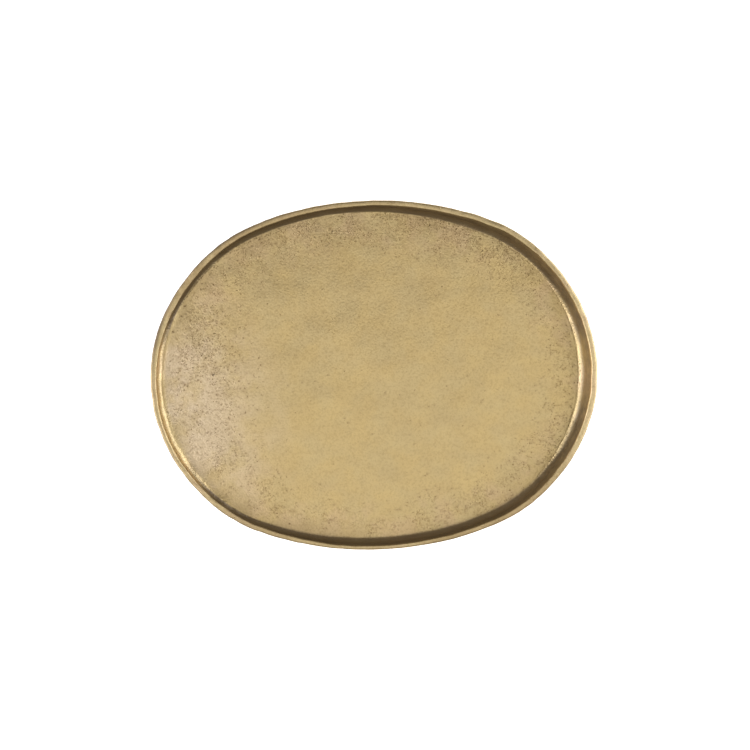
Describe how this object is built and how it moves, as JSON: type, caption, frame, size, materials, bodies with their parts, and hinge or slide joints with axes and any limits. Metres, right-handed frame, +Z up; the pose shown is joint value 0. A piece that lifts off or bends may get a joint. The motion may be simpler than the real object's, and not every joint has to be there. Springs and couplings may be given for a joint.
{
  "type": "oval tray",
  "caption": "Shallow oval cast-brass tray with a flat pitted floor, a coved upright wall and a rounded lip, standing on stick-on felt pads.",
  "frame": {"origin": "on the surface the tray stands on, under the middle of the oval", "axes": "+X along the tray's length, +Y across its width, +Z up"},
  "size_m": [0.36, 0.28, 0.0203],
  "materials": {
    "cast_brass": "sand-cast, brushed and lightly antiqued, dark in the pits and on the wall",
    "wool_felt": "pressed felt, dark brown",
    "adhesive_film": "pressure-sensitive adhesive film"
  },
  "bodies": {
    "root": {"tray_casting": "cast_brass", "felt_pad_rear_right": "wool_felt", "felt_pad_rear_left": "wool_felt", "felt_pad_front_left": "wool_felt", "felt_pad_front_right": "wool_felt", "adhesive_disc_rear_right": "adhesive_film", "adhesive_disc_rear_left": "adhesive_film", "adhesive_disc_front_left": "adhesive_film", "adhesive_disc_front_right": "adhesive_film"}
  },
  "joints": []
}
